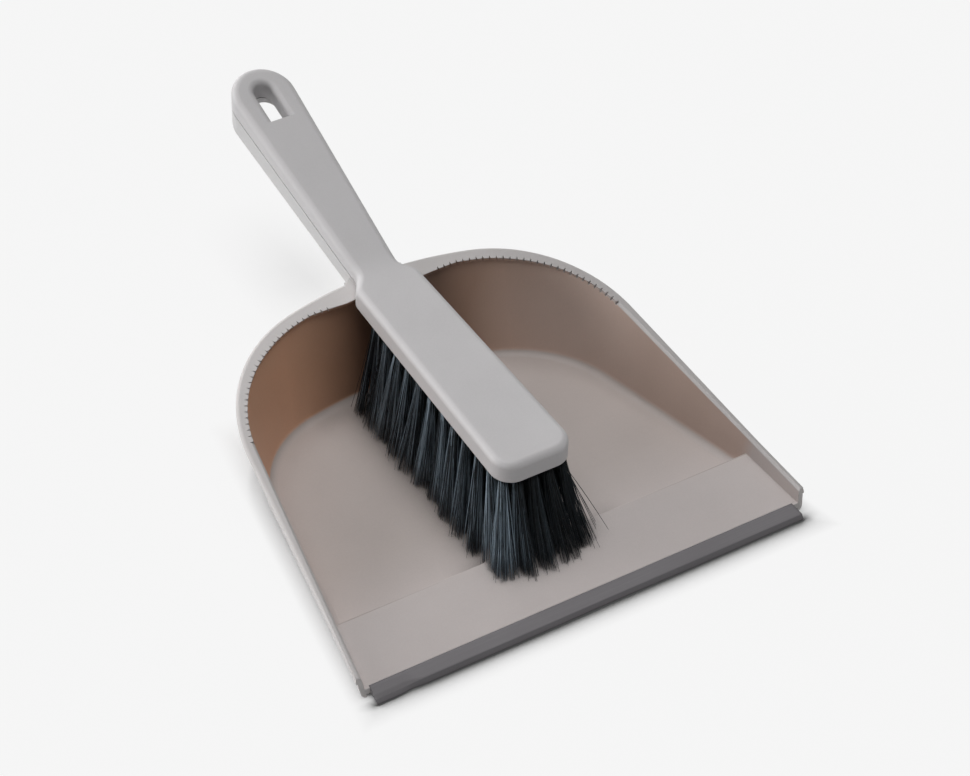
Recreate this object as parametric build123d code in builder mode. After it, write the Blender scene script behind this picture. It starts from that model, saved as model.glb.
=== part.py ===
"""Dustpan with its nesting hand brush, in millimetres.

X runs along the lip, +Y points back to the handles and +Z up. The origin is on the pan's rest face.
Stations are distances measured back from the front edge of the lip.
"""
import math
import os

from build123d import *

# Where the origin lies behind the front edge of the lip
rest_station = 110.0

# Pan tray
pan_width = 225.0
pan_depth = 185.0
rim_front_station = 8.6
rim_front_height = 9.9
rim_slope = 14.4
rim_width = 5.0
rim_front_width = 2.7
rim_thickness = 2.4
rim_bevel = 0.9
rim_edge_round = 1.4
side_taper = 10.2
inside_taper = 11.3
corner_radius = 55.0
back_radius = 198.0
wall_thickness = 2.2
wall_draft = 12.0
wall_front_lean = 14.0
floor_thickness = 2.4
floor_fillet = 4.0
bottom_round = 3.0

# Front ramp with its crest, and the steep slope down to the floor behind it
ramp_front_height = 3.7
crest_station = 39.4
crest_height = 10.2
slope_end_station = 45.0
slope_end_radius = 3.0

# Comb along the back corners of the rim: a ledge that deepens towards the handle, with notches
comb_pitch = 3.2
comb_run_depth = 61.0
comb_front_station = pan_depth - comb_run_depth
comb_lead = 44.0
comb_ledge_depth = 1.8
comb_thickness = 1.6
comb_handle_clearance = 17.0
notch_width = 0.8
notch_depth = 1.6
neck_ledge_depth = 5.0
neck_ledge_half_width = 38.0
neck_ledge_run = 18.0

# Rubber lip on the front edge of the ramp
lip_depth = 8.3
lip_nose_depth = 1.7
lip_nose_height = 2.2
lip_heel_height = 0.3
tongue_thickness = 0.9
tongue_length = 4.2

# Handles, one above the other, and the plane that parts them
handle_slope = 17.5
handle_step = 1.1
handle_length = 111.0
handle_root_width = 20.0
handle_end_radius = 15.2
handle_gusset = 4.5
pan_handle_root_depth = 6.8
pan_handle_end_depth = 9.4
pan_handle_end_round = 6.0
pan_handle_wall = 2.4
parting_gap = 0.5

# Hang holes through both handles
hang_hole_width = 8.6
hang_hole_length = 21.5
hang_hole_end_wall = 9.5
hang_hole_round = 3.0
pan_hole_margin = 1.8
pan_hole_ledge = 0.2

# Locating tongue of the pan handle in the recess of the brush handle
recess_depth = 4.0
recess_wall = 3.4
recess_root_gap = 12.0
recess_hole_gap = 8.0
nest_clearance = 0.4

# Brush body
head_front_station = 47.0
head_back_gap = 13.0
head_back_station = pan_depth - head_back_gap
head_front_width = 37.6
head_back_width = 32.2
head_thickness = 10.2
head_slope = 5.0
head_drop = 4.5184
head_corner_radius = 9.5
neck_length = 8.5
neck_radius = 6.0
brush_handle_root_thickness = 6.4
brush_handle_end_thickness = 8.8
brush_edge_radius = 3.2
bend_radius = 60.0
head_bottom_bevel = 0.5

# Tufts: rows across the head, tufts along each row, strands in each tuft
tuft_rows = 5
tufts_per_row = 12
strands_per_tuft = 6
tuft_edge_inset = 4.3
tuft_front_inset = 6.0
tuft_back_inset = 12.3
front_tufts = 1
tuft_radius = 1.3
strand_radius = 0.5
slice_width = 4.8
slice_thickness = 1.6
strand_rooting = 0.5
tip_clearance = 1.5
tip_spread = 1.26
tip_side_lean = 7.0
tip_front_lean = 21.0
tip_back_lean = 4.0

# Staples that anchor the tufts at the end of their holes
tuft_hole_radius = 1.7
tuft_hole_depth = 5.2
tuft_root_clearance = 0.1
staple_thickness = 0.5
staple_height = 1.8


def at(station):
    """Y of a station behind the front edge of the lip."""
    return station - rest_station


def rise(angle, run):
    """Height gained over a run at an angle."""
    return run * math.tan(math.radians(angle))


def rim_z(station):
    """Height of the rim's top face."""
    return rim_front_height + rise(rim_slope, station - rim_front_station)


def parting_z(station):
    """Height of the plane between the two handles."""
    return rim_z(pan_depth) + handle_step + rise(handle_slope, station - pan_depth)


# The brush head hangs from the plane between the handles, by its drop where the pan's depth ends
head_front_height = parting_z(pan_depth) - head_drop - rise(head_slope, pan_depth - head_front_station)


def head_bottom_z(station):
    """Height of the underside of the brush head."""
    return head_front_height + rise(head_slope, station - head_front_station)


def head_half_width(station):
    """Half width of the brush head, which tapers towards the neck."""
    share = (station - head_front_station) / (head_back_station - head_front_station)
    return (head_front_width + (head_back_width - head_front_width) * share) / 2


def floor_z(station):
    """Height of the pan's inside at a station: ramp, slope behind the crest, then level floor."""
    if station < crest_station:
        share = (station - lip_depth) / (crest_station - lip_depth)
        return ramp_front_height + (crest_height - ramp_front_height) * share
    if station < slope_end_station:
        share = (station - crest_station) / (slope_end_station - crest_station)
        return crest_height + (floor_thickness - crest_height) * share
    return floor_thickness


def pan_outline(front_width, taper, grow):
    """Plan of the tray at floor level, with its front well past the lip.

    The sides start where the rim is front_width wide and taper towards the back.
    """
    lean = math.radians(taper)
    draft_at_front = rise(wall_draft, rim_front_height)
    half_front = pan_width / 2 - front_width - draft_at_front + grow / math.cos(lean)
    back = pan_depth - rim_width - rise(wall_draft, rim_z(pan_depth - rim_width)) + grow
    bend = back_radius + grow
    front = -40.0
    half_start = half_front + (rim_front_station - front) * math.tan(lean)
    # The side line meets the back arc where x = half_start - k (y - front) lies on the circle
    k = math.tan(lean)
    centre = back - bend
    offset = half_start - k * (centre - front)
    reach = (k * offset + math.sqrt(bend**2 * (1 + k**2) - offset**2)) / (1 + k**2)
    corner = (offset - k * reach, centre + reach)
    with BuildSketch() as outline:
        with BuildLine():
            Line((half_start, at(front)), (corner[0], at(corner[1])))
            ThreePointArc((corner[0], at(corner[1])), (0, at(back)), (-corner[0], at(corner[1])))
            Line((-corner[0], at(corner[1])), (-half_start, at(front)))
            Line((-half_start, at(front)), (half_start, at(front)))
        make_face()
        fillet(outline.vertices().group_by(Axis.Y)[-1], corner_radius + grow)
    return outline.sketch


def drafted(outline, height):
    """Block on an outline whose sides lean outwards at the wall draft."""
    with BuildPart() as block:
        add(outline)
        extrude(amount=height, taper=-wall_draft)
    return block.part


inside_plan = pan_outline(rim_front_width, inside_taper, 0)
wall_plan = pan_outline(rim_front_width, inside_taper, wall_thickness)
rim_plan = pan_outline(rim_width, side_taper, rim_width)
lip_plan = pan_outline(rim_width, side_taper, 0)

tray_height = rim_z(pan_depth) + 15
rim_plane = Plane(
    origin=(0, at(rim_front_station), rim_front_height),
    x_dir=(1, 0, 0),
    z_dir=(0, -math.sin(math.radians(rim_slope)), math.cos(math.radians(rim_slope))),
)
handle_root_station = pan_depth - 3 * rim_width
handle_end_station = pan_depth + handle_length
handle_end_centre = handle_end_station - handle_end_radius
hole_far_station = handle_end_station - hang_hole_end_wall
hole_near_station = hole_far_station - hang_hole_length


def handle_outline(shrink=0.0):
    """Plan of both handles: the sides run from the root to the round end."""
    root_line = 0.5
    with BuildSketch() as outline:
        with Locations((0, at(handle_end_centre))):
            Circle(handle_end_radius - shrink)
        with Locations((0, at(handle_root_station))):
            Rectangle(handle_root_width - 2 * shrink, root_line, align=(Align.CENTER, Align.MIN))
        make_hull()
    return outline.sketch


def hang_hole_outline(half, near_station, far_station):
    """Plan of a hang hole: straight near end, round far end."""
    near = at(near_station)
    shoulder = at(far_station) - half
    with BuildSketch() as outline:
        with BuildLine():
            Line((-half, near), (half, near))
            Line((half, near), (half, shoulder))
            ThreePointArc((half, shoulder), (0, shoulder + half), (-half, shoulder))
            Line((-half, shoulder), (-half, near))
        make_face()
    return outline.sketch


def side_prism(points, half_width, bend=None, bend_round=0.0):
    """Solid across X from a side view given as (station, height) points, with one of them rounded."""
    with BuildPart() as prism:
        with BuildSketch(Plane.YZ) as side:
            with BuildLine():
                Polyline([(at(station), z) for station, z in points], close=True)
            make_face()
            if bend:
                fillet(side.vertices().sort_by_distance((at(bend[0]), bend[1]))[0], bend_round)
        extrude(amount=half_width, both=True)
    return prism.part


# Side views reach past the part by this much
margin = 40.0

# Hollow over the ramp, with sharp corners at the walls
with BuildPart() as ramp_hollow:
    add(drafted(inside_plan, tray_height))
    over_ramp = [
        (-margin, ramp_front_height),
        (lip_depth, ramp_front_height),
        (crest_station, crest_height),
        (crest_station, tray_height),
        (-margin, tray_height),
    ]
    add(side_prism(over_ramp, pan_width), mode=Mode.INTERSECT)

# Hollow behind the crest: rounded into the level floor, above the slope
with BuildPart() as cavity:
    add(drafted(inside_plan, tray_height))
    split(bisect_by=Plane.XY.offset(floor_thickness), keep=Keep.TOP)
    floor_edges = cavity.faces().sort_by(Axis.Z)[0].edges()
    fillet(floor_edges.sort_by(Axis.Y)[1:], floor_fillet)
    slope_end = (slope_end_station, floor_thickness)
    up_to_slope = [
        (-2 * margin, -margin),
        (-2 * margin, tray_height),
        (crest_station, tray_height),
        (crest_station, crest_height),
        slope_end,
        (pan_depth, floor_thickness),
        (pan_depth, -margin),
    ]
    add(side_prism(up_to_slope, 2 * pan_width, slope_end, slope_end_radius), mode=Mode.SUBTRACT)
    add(ramp_hollow.part)

# Space under the ramp, between the walls, with the sheet equally thick on both sides of the crest
with BuildPart() as under_ramp:
    add(drafted(inside_plan, crest_height))
    slope_angle = math.atan2(crest_height - floor_thickness, slope_end_station - crest_station)
    slope_shift = floor_thickness * math.tan(slope_angle / 2)
    under_crest = crest_station - slope_shift
    under_points = [
        (-margin, 0),
        (-margin, ramp_front_height - floor_thickness),
        (lip_depth, ramp_front_height - floor_thickness),
        (under_crest, floor_z(under_crest) - floor_thickness),
        (slope_end_station - slope_shift, 0),
    ]
    add(side_prism(under_points, pan_width), mode=Mode.INTERSECT)

# Place of the rubber lip in front of the ramp
with BuildPart() as lip_place:
    add(drafted(lip_plan, crest_height))
    lip_side = [(-margin, 0), (lip_depth, 0), (lip_depth, crest_height), (-margin, crest_height)]
    add(side_prism(lip_side, pan_width), mode=Mode.INTERSECT)

# Flange around the top of the walls
with BuildPart() as rim:
    add(drafted(rim_plan, tray_height))
    split(bisect_by=rim_plane, keep=Keep.BOTTOM)
    split(bisect_by=rim_plane.offset(-rim_thickness), keep=Keep.TOP)
    rim_top = rim.faces().sort_by(Axis(rim_plane.origin, rim_plane.z_dir))[-1]
    fillet(rim_top.edges().sort_by(Axis.Y)[1:], rim_edge_round)

# Gusset that rounds the rim into the handle
with BuildPart() as gusset:
    gusset_half = handle_root_width / 2 + handle_gusset
    rim_radius = back_radius + rim_width
    rim_sag = rim_radius - math.sqrt(rim_radius**2 - gusset_half**2)
    gusset_front = at(pan_depth - rim_width)
    gusset_back = at(pan_depth - rim_sag + handle_gusset)
    with BuildSketch(Plane.XY.offset(rim_z(pan_depth) - margin)):
        with Locations((0, gusset_front)):
            Rectangle(2 * gusset_half, gusset_back - gusset_front, align=(Align.CENTER, Align.MIN))
        with Locations((gusset_half, gusset_back), (-gusset_half, gusset_back)):
            Circle(handle_gusset, mode=Mode.SUBTRACT)
    extrude(amount=2 * margin)
    split(bisect_by=rim_plane, keep=Keep.BOTTOM)
    split(bisect_by=rim_plane.offset(-2 * rim_thickness), keep=Keep.TOP)

pan_hole = hang_hole_outline(
    hang_hole_width / 2 + pan_hole_margin,
    hole_near_station - pan_hole_margin,
    hole_far_station - pan_hole_ledge,
)

# Hollow under the pan handle
with BuildPart() as handle_hollow:
    add(handle_outline(pan_handle_wall))
    extrude(amount=2 * tray_height)
    hollow_start = pan_depth + 2 * handle_gusset
    hollow_side = [
        (hollow_start, 0),
        (hollow_start, parting_z(hollow_start) - pan_handle_wall),
        (handle_end_station, parting_z(handle_end_station) - pan_handle_wall),
        (handle_end_station, 0),
    ]
    add(side_prism(hollow_side, pan_width), mode=Mode.INTERSECT)

with BuildPart() as pan_handle:
    add(handle_outline())
    extrude(amount=2 * tray_height)
    with BuildSketch(Plane.YZ) as handle_side:
        with BuildLine():
            Polyline(
                (at(handle_root_station), parting_z(handle_root_station)),
                (at(handle_end_station), parting_z(handle_end_station)),
                (at(handle_end_station), parting_z(handle_end_station) - pan_handle_end_depth),
                (at(pan_depth), parting_z(pan_depth) - pan_handle_root_depth),
                (at(handle_root_station), parting_z(handle_root_station) - pan_handle_root_depth),
                close=True,
            )
        make_face()
        fillet(handle_side.vertices().group_by(Axis.X)[-1].sort_by(Axis.Y)[0], pan_handle_end_round)
    extrude(amount=pan_width, both=True, mode=Mode.INTERSECT)
    add(handle_hollow.part, mode=Mode.SUBTRACT)
    add(pan_hole)
    extrude(amount=2 * tray_height, mode=Mode.SUBTRACT)


def nest_block(shrink, end_gap, drop):
    """Block on the parting plane that reaches the top of the recess in the brush handle."""
    start = pan_depth + recess_root_gap + end_gap
    end = hole_near_station - recess_hole_gap - end_gap
    top = parting_gap + recess_depth
    side = [
        (start, parting_z(start) - drop),
        (start, parting_z(start) + top),
        (end, parting_z(end) + top),
        (end, parting_z(end) - drop),
    ]
    with BuildPart() as block:
        add(handle_outline(recess_wall + shrink))
        extrude(amount=2 * tray_height)
        add(side_prism(side, pan_width), mode=Mode.INTERSECT)
    return block.part


# Inside of the tray up to the rim, for the run of its inner edge
with BuildPart() as inside:
    add(drafted(inside_plan, tray_height))
    split(bisect_by=rim_plane, keep=Keep.BOTTOM)

rim_edge = inside.faces().sort_by(Axis(rim_plane.origin, rim_plane.z_dir))[-1].outer_wire()
tray_middle = at(pan_depth / 2)
comb_teeth = round(rim_edge.length / comb_pitch)
notch_half = notch_width / 2 / rim_edge.length


def carries_comb(point):
    """Whether a point of the rim lies on the right half of the comb."""
    return point.X > -comb_pitch and point.Y > at(comb_front_station)


# The comb's run has three points at each notch: one lip, the middle and the other lip
notches = [tooth / comb_teeth for tooth in range(1, comb_teeth)]
notches = [along for along in notches if carries_comb(rim_edge.position_at(along))]
comb_run = [rim_edge.position_at(n + part) for n in notches for part in (-notch_half, 0, notch_half)]
comb_run.sort(key=lambda p: math.atan2(p.Y - tray_middle, p.X))


def comb_reach(point):
    """Reach of the comb's ledge into the tray, which grows from nothing and is deepest at the neck."""
    lead = min((point.Y - at(comb_front_station)) / comb_lead, 1)
    near = min(max((neck_ledge_half_width - point.X) / neck_ledge_run, 0), 1)
    return comb_ledge_depth * lead**2 + (neck_ledge_depth - comb_ledge_depth) * near


def comb_point(index, beyond=0.0):
    """Place in the rim's plane on the edge of the comb's ledge, or beyond it by an amount."""
    point = comb_run[index]
    before = rim_plane.to_local_coords(comb_run[max(index - 1, 0)])
    after = rim_plane.to_local_coords(comb_run[min(index + 1, len(comb_run) - 1)])
    along = (after - before).normalized()
    place = rim_plane.to_local_coords(point) + Vector(-along.Y, along.X) * (comb_reach(point) + beyond)
    return (place.X, place.Y)


# Ledge of the comb on the inner edge of the rim
with BuildPart() as comb_ledge:
    ledge_edge = [comb_point(i) for i in range(len(comb_run))]
    ledge_back = [comb_point(i, -comb_reach(p) - wall_thickness / 2) for i, p in enumerate(comb_run)]
    with BuildSketch(rim_plane):
        with BuildLine():
            Polyline(ledge_edge + ledge_back[::-1], close=True)
        make_face()
    extrude(amount=-comb_thickness)
    mirror(about=Plane.YZ)

# Notches of the comb, up to the plain ledge at the neck
with BuildPart() as comb_notches:
    notch_end = handle_root_width / 2 + comb_handle_clearance
    notch_middles = [i for i in range(1, len(comb_run), 3) if comb_run[i].X > notch_end]
    with BuildSketch(rim_plane):
        for i in notch_middles:
            with BuildLine():
                Polyline(
                    comb_point(i - 1),
                    comb_point(i, -notch_depth),
                    comb_point(i + 1),
                    comb_point(i, notch_depth),
                    close=True,
                )
            make_face()
    extrude(amount=-comb_thickness)
    mirror(about=Plane.YZ)

# Everything in front of the leaning ends of the walls
wall_front_low = rim_front_station - rise(wall_front_lean, rim_front_height)
wall_front_high = wall_front_low + rise(wall_front_lean, margin)
before_walls = [
    (-2 * margin, 0),
    (wall_front_low, 0),
    (wall_front_high, margin),
    (-2 * margin, margin),
]

# Tongue of the ramp that holds the rubber lip
tongue_bottom = ramp_front_height - floor_thickness
tongue_points = [
    (lip_depth + floor_thickness, tongue_bottom),
    (lip_depth - tongue_length, tongue_bottom),
    (lip_depth - tongue_length, tongue_bottom + tongue_thickness),
    (lip_depth + floor_thickness, tongue_bottom + tongue_thickness),
]
with BuildPart() as lip_tongue:
    add(drafted(lip_plan, crest_height))
    add(side_prism(tongue_points, pan_width), mode=Mode.INTERSECT)

with BuildPart() as pan:
    add(drafted(wall_plan, tray_height))
    bottom_edges = pan.faces().sort_by(Axis.Z)[0].edges()
    fillet(bottom_edges.sort_by(Axis.Y)[1:], bottom_round)
    split(bisect_by=rim_plane, keep=Keep.BOTTOM)
    add(rim.part)
    add(gusset.part)
    add(pan_handle.part)
    add(cavity.part, mode=Mode.SUBTRACT)
    add(under_ramp.part, mode=Mode.SUBTRACT)
    add(lip_place.part, mode=Mode.SUBTRACT)
    add(side_prism(before_walls, 2 * pan_width), mode=Mode.SUBTRACT)
    inner_rim = [e for e in pan.edges() if rim_edge.distance_to(e @ 0.5) < 0.01]
    chamfer(inner_rim, rim_bevel)
    add(lip_tongue.part)
    add(comb_ledge.part)
    add(comb_notches.part, mode=Mode.SUBTRACT)
    add(nest_block(nest_clearance, nest_clearance, pan_handle_wall / 2))
pan.part.label = "pan"

# Rubber lip over the tongue, between the planes of the walls
with BuildPart() as lip_seal:
    add(drafted(lip_plan, crest_height))
    lip_points = [
        (0, 0),
        (lip_nose_depth, lip_nose_height),
        (lip_depth, ramp_front_height),
        (lip_depth, lip_heel_height),
    ]
    add(side_prism(lip_points, pan_width), mode=Mode.INTERSECT)
    add(lip_tongue.part, mode=Mode.SUBTRACT)
lip_seal.part.label = "lip_seal"


def brush_plan():
    """Plan of the brush: tapered head with round front corners, neck, and the handle."""
    front = head_front_width / 2
    back = head_back_width / 2
    neck = handle_root_width / 2
    neck_station = head_back_station + neck_length
    half = [
        (front, at(head_front_station)),
        (back, at(head_back_station)),
        (neck, at(neck_station)),
    ]
    other_half = [(-x, y) for x, y in reversed(half)]
    with BuildSketch() as outline:
        with BuildLine():
            Polyline(half + other_half, close=True)
        make_face()
        add(handle_outline())
        fillet(outline.vertices().group_by(Axis.Y)[0], head_corner_radius)
        shoulders = outline.vertices().filter_by_position(
            Axis.Y, at(head_back_station) - 1, at(neck_station) + 1
        )
        fillet(shoulders, neck_radius)
    return outline.sketch


def handle_top_z(station):
    """Height of the brush handle's top, which thickens towards its end."""
    share = (station - pan_depth) / handle_length
    growth = brush_handle_end_thickness - brush_handle_root_thickness
    return parting_z(station) + parting_gap + brush_handle_root_thickness + growth * share


def head_top_z(station):
    """Height of the top of the brush head."""
    return head_bottom_z(station) + head_thickness


# Station where the top of the head meets the top of the handle
slope_gap = (handle_top_z(1) - handle_top_z(0)) - (head_top_z(1) - head_top_z(0))
bend_station = (head_top_z(0) - handle_top_z(0)) / slope_gap
lift_station = head_back_station + neck_length / 2

head_plane = Plane(
    origin=(0, at(head_front_station), head_front_height),
    x_dir=(1, 0, 0),
    z_dir=(0, -math.sin(math.radians(head_slope)), math.cos(math.radians(head_slope))),
)


def tuft_point(row, index):
    """X and station where a tuft leaves the head."""
    length = head_back_station - head_front_station - tuft_front_inset - tuft_back_inset
    station = head_front_station + tuft_front_inset + length * index / (tufts_per_row - 1)
    reach = head_half_width(station) - tuft_edge_inset
    return (reach * (2 * row / (tuft_rows - 1) - 1), station)


def on_head(x, station):
    """Place in the plane of the head's underside."""
    return (x, (station - head_front_station) / math.cos(math.radians(head_slope)))


def slice_sketch(tufts):
    """Outline of the slice of backing around a group of tufts."""
    with BuildSketch(head_plane) as outline:
        with Locations([on_head(*tuft) for tuft in tufts]):
            Circle(slice_width / 2)
        make_hull()
    return outline.sketch


def tuft_holes_sketch(tufts, radius):
    """Round outlines of a group of tufts where they pass the slice's upper face."""
    with BuildSketch(head_plane.offset(slice_thickness)) as outline:
        with Locations([on_head(*tuft) for tuft in tufts]):
            Circle(radius)
    return outline.sketch


# The front tufts share one slice, the others one slice in each row
tuft_groups = {
    "bristle_front": [
        tuft_point(row, index) for row in range(tuft_rows) for index in range(front_tufts)
    ]
}
for row in range(tuft_rows):
    tuft_groups[f"bristle_row_{row + 1}"] = [
        tuft_point(row, index) for index in range(front_tufts, tufts_per_row)
    ]
all_tufts = [tuft for tufts in tuft_groups.values() for tuft in tufts]

with BuildPart() as brush_block:
    add(brush_plan())
    extrude(amount=2 * tray_height)
    with BuildSketch(Plane.YZ) as block_side:
        with BuildLine():
            Polyline(
                (at(head_front_station), head_bottom_z(head_front_station)),
                (at(head_back_station), head_bottom_z(head_back_station)),
                (at(lift_station), parting_z(lift_station) + parting_gap),
                (at(handle_end_station), parting_z(handle_end_station) + parting_gap),
                (at(handle_end_station), handle_top_z(handle_end_station)),
                (at(bend_station), head_top_z(bend_station)),
                (at(head_front_station), head_top_z(head_front_station)),
                close=True,
            )
        make_face()
        bend = block_side.vertices().sort_by_distance((at(bend_station), head_top_z(bend_station)))[0]
        fillet(bend, bend_radius)
    extrude(amount=pan_width, both=True, mode=Mode.INTERSECT)
    tops = brush_block.faces().filter_by(lambda f: f.normal_at().Z > 0.9)
    top_edges = [e for e in tops.edges() if sum(e.is_same(other) for other in tops.edges()) == 1]
    fillet(top_edges, brush_edge_radius)
    head_bottom = brush_block.faces().filter_by(lambda f: f.normal_at().Z < -0.9).sort_by(Axis.Z)[0]
    chamfer(head_bottom.edges().sort_by(Axis.Y)[:-1], head_bottom_bevel)
    add(hang_hole_outline(hang_hole_width / 2, hole_near_station, hole_far_station))
    extrude(amount=2 * tray_height, mode=Mode.SUBTRACT)
    handle_top = brush_block.faces().filter_by(lambda f: f.normal_at().Z > 0.9).sort_by(Axis.Y)[-1]
    hole_edges = handle_top.inner_wires()[0].edges().sort_by(Axis.Y)[1:]
    fillet(hole_edges, hang_hole_round)
    add(nest_block(0, 0, parting_gap), mode=Mode.SUBTRACT)
    into_head = head_plane.z_dir
    for tufts in tuft_groups.values():
        extrude(slice_sketch(tufts), amount=slice_thickness, dir=into_head, mode=Mode.SUBTRACT)
    tuft_holes = tuft_holes_sketch(all_tufts, tuft_hole_radius)
    extrude(tuft_holes, amount=tuft_hole_depth, dir=into_head, mode=Mode.SUBTRACT)
brush_block.part.label = "brush_block"


def tip_of(x, station):
    """Where a strand that leaves the head at a place ends, just over the inside of the pan."""
    first = head_front_station + tuft_front_inset
    last = head_back_station - tuft_back_inset
    share = (last - station) / (last - first)
    tip_station = station - tip_back_lean - tip_front_lean * share**2
    return Vector(x * tip_spread - tip_side_lean, at(tip_station), floor_z(tip_station) + tip_clearance)


def strand(x, station):
    """One four-sided strand, from inside the slice to its tip."""
    root = Vector(x, at(station), head_bottom_z(station) + strand_rooting)
    run = tip_of(x, station) - root
    with BuildPart() as thread:
        with BuildSketch(Plane(origin=root, x_dir=(1, 0, 0), z_dir=run)):
            RegularPolygon(strand_radius, 4)
        extrude(amount=run.length)
    return thread.part


def bristle_node(tufts):
    """Slice of backing with the tufts' roots above it and their strands below."""
    turns = [2 * math.pi * k / strands_per_tuft for k in range(strands_per_tuft)]
    strands = [
        strand(x + tuft_radius * math.cos(turn), station + tuft_radius * math.sin(turn))
        for x, station in tufts
        for turn in turns
    ]
    roots = tuft_holes_sketch(tufts, tuft_hole_radius - tuft_root_clearance)
    with BuildPart() as node:
        extrude(slice_sketch(tufts), amount=slice_thickness, dir=head_plane.z_dir)
        extrude(roots, amount=tuft_hole_depth - staple_height, dir=head_plane.z_dir)
        add(strands)
    return node.part


# Staples: one flat plate across the closed end of each tuft hole
with BuildPart() as tuft_staples:
    staple_width = 2 * (tuft_hole_radius - tuft_root_clearance)
    with BuildSketch(head_plane.offset(slice_thickness + tuft_hole_depth - staple_height)):
        with Locations([on_head(*tuft) for tuft in all_tufts]):
            Rectangle(staple_width, staple_thickness)
    extrude(amount=staple_height)
tuft_staples.part.label = "tuft_staples"

os.makedirs("parts", exist_ok=True)
export_step(pan.part, "parts/pan.step")
export_step(lip_seal.part, "parts/lip_seal.step")
export_step(brush_block.part, "parts/brush_block.step")
export_step(tuft_staples.part, "parts/tuft_staples.step")
for name, tufts in tuft_groups.items():
    bristles = bristle_node(tufts)
    bristles.label = name
    export_step(bristles, f"parts/{name}.step")
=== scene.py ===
"""Looks of the dustpan with its nesting hand brush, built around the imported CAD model.

Lengths are millimetres until a mesh is made, then metres. X runs along the lip, +Y points back to the
handles and +Z up. Stations are distances measured back from the front edge of the lip.
"""
import math

import bpy
import numpy as np
from mathutils import Matrix, Vector


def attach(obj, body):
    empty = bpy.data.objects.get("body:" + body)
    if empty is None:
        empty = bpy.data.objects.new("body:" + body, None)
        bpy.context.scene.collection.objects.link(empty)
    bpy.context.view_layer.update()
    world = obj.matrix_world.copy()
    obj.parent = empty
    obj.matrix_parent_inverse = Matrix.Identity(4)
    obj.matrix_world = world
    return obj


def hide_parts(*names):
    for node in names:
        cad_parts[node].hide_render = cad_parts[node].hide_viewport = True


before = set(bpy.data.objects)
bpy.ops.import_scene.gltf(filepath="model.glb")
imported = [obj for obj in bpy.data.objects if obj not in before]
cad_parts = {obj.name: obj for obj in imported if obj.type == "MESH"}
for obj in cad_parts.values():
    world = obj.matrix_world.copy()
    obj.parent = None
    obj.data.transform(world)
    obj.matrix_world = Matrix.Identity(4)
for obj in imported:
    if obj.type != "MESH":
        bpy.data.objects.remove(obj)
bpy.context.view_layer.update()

MM = 0.001
REST_STATION = 110.0

# Rim and sides of the pan, and its inside: ramp, crest, steep slope and level floor
RIM_STATION, RIM_HEIGHT = 8.6, 9.9
RIM_SLOPE = math.tan(math.radians(14.4))
SIDE_TAPER = math.tan(math.radians(10.2))
WALL_DRAFT = math.tan(math.radians(12))
PAN_HALF_WIDTH = 112.3
TRAY_MIDDLE = (0.0, 30.0, 0.0)
LIP_DEPTH, RAMP_HEIGHT = 8.3, 3.7
CREST_STATION, CREST_HEIGHT = 39.4, 10.2
CREST_Y = CREST_STATION - REST_STATION
SLOPE_END, FLOOR_HEIGHT = 45.0, 2.4

# Underside of the brush head and its tufts
HEAD_FRONT, HEAD_BACK = 47.0, 172.0
HEAD_FRONT_WIDTH, HEAD_BACK_WIDTH = 37.6, 32.2
HEAD_HEIGHT, HEAD_SLOPE = 39.7, math.radians(5)
HEAD_NORMAL = np.array([0, -math.sin(HEAD_SLOPE), math.cos(HEAD_SLOPE)])
ROWS, TUFTS_PER_ROW, FRONT_TUFTS = 5, 12, 1
EDGE_INSET, FRONT_INSET, BACK_INSET = 4.3, 6.0, 12.3
FIRST_TUFT, LAST_TUFT = HEAD_FRONT + FRONT_INSET, HEAD_BACK - BACK_INSET
SLICE_WIDTH, SLICE_THICKNESS, SLICE_ROUND = 4.8, 1.6, 0.25


# Helpers for materials


def node(tree, kind, values=None, **settings):
    """Shader node with its settings, and its inputs set to a number or linked to a socket."""
    made = tree.nodes.new("ShaderNode" + kind)
    for key, value in settings.items():
        setattr(made, key, value)
    for key, value in (values or {}).items():
        if isinstance(value, bpy.types.NodeSocket):
            tree.links.new(value, made.inputs[key])
        else:
            made.inputs[key].default_value = value
    return made


def number(tree, operation, *values):
    """Result of an operation on numbers."""
    return node(tree, "Math", dict(enumerate(values)), operation=operation).outputs[0]


def vector(tree, operation, *values):
    """Vector that an operation on vectors gives."""
    return node(tree, "VectorMath", dict(enumerate(values)), operation=operation).outputs[0]


def measure(tree, operation, first, second):
    """Number that an operation on two vectors gives."""
    return node(tree, "VectorMath", {0: first, 1: second}, operation=operation).outputs["Value"]


def lengthened(tree, direction, length):
    """A vector multiplied by a number."""
    return node(tree, "VectorMath", {0: direction, "Scale": length}, operation="SCALE").outputs[0]


def parts_of(tree, value):
    """X, Y and Z of a vector."""
    return node(tree, "SeparateXYZ", {0: value}).outputs


def times(tree, *amounts):
    """Product of some amounts."""
    total = amounts[0]
    for amount in amounts[1:]:
        total = number(tree, "MULTIPLY", total, amount)
    return total


def spread(tree, value, low, high, from_low=0.3, from_high=0.7):
    """A value spread over a new range, from low at from_low to high at from_high."""
    values = {0: value, 1: from_low, 2: from_high, 3: low, 4: high}
    return node(tree, "MapRange", values).outputs[0]


def rises(tree, value, border, full=1.0):
    """Amount that goes up from nothing across a border, given as its start and end."""
    return spread(tree, value, 0.0, full, *border)


def falls(tree, value, border, full=1.0):
    """Amount that goes down to nothing across a border, given as its start and end."""
    return spread(tree, value, full, 0.0, *border)


def fresh(name):
    """New material with an empty node tree."""
    material = bpy.data.materials.new(name)
    material.use_nodes = True
    material.node_tree.nodes.clear()
    return material, material.node_tree


def shader(tree, values):
    """Principled surface as the material's output."""
    surface = node(tree, "BsdfPrincipled", values)
    node(tree, "OutputMaterial", {"Surface": surface.outputs[0]})


def object_place(tree):
    """Place on the object, in metres."""
    return node(tree, "TexCoord").outputs["Object"]


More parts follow.
